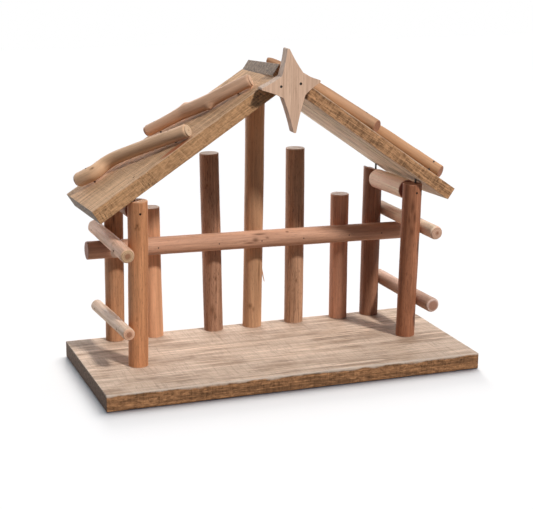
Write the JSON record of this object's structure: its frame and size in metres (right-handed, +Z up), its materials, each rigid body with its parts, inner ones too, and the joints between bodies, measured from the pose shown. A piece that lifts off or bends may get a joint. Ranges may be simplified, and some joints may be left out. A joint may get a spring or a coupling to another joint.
{
  "type": "wooden nativity stable",
  "caption": "Rustic open-fronted nativity stable of round wooden sticks on a rough-sawn board, with a pitched plank roof, a picket back and a pointed star at the ridge.",
  "frame": {"origin": "centre of the base board's underside, where the stable stands", "axes": "+X to the viewer's right along the board, +Y to the picket back, +Z up"},
  "size_m": [0.4, 0.1854, 0.335],
  "materials": {
    "sawn_board": "rough-sawn, washed grey, worn arrises",
    "sawn_plank": "rough-sawn, golden, saw marks on the edges",
    "round_stick": "peeled round stick, red-brown",
    "pale_stick": "peeled branch, pale",
    "star_wood": "sawn softwood, peach",
    "nail_wire": "plain square wire"
  },
  "bodies": {
    "root": {"base_board": "sawn_board", "left_roof_plank": "sawn_plank", "right_roof_plank": "sawn_plank", "front_left_post": "round_stick", "front_right_post": "round_stick", "rear_left_post": "round_stick", "rear_right_post": "round_stick", "short_left_picket": "round_stick", "tall_left_picket": "round_stick", "centre_picket": "round_stick", "tall_right_picket": "round_stick", "short_right_picket": "round_stick", "back_rail": "round_stick", "left_bearer": "round_stick", "right_bearer": "round_stick", "upper_left_rail": "pale_stick", "lower_left_rail": "pale_stick", "upper_right_rail": "pale_stick", "lower_right_rail": "pale_stick", "lower_left_roof_stick": "pale_stick", "upper_left_roof_stick": "pale_stick", "upper_right_roof_stick": "pale_stick", "lower_right_roof_stick": "pale_stick", "star": "star_wood", "base_nails": "nail_wire", "roof_nails": "nail_wire", "back_rail_nails": "nail_wire", "side_rail_nails": "nail_wire", "bearer_nails": "nail_wire", "roof_stick_nails": "nail_wire", "star_nails": "nail_wire", "ridge_nails": "nail_wire"}
  },
  "joints": []
}
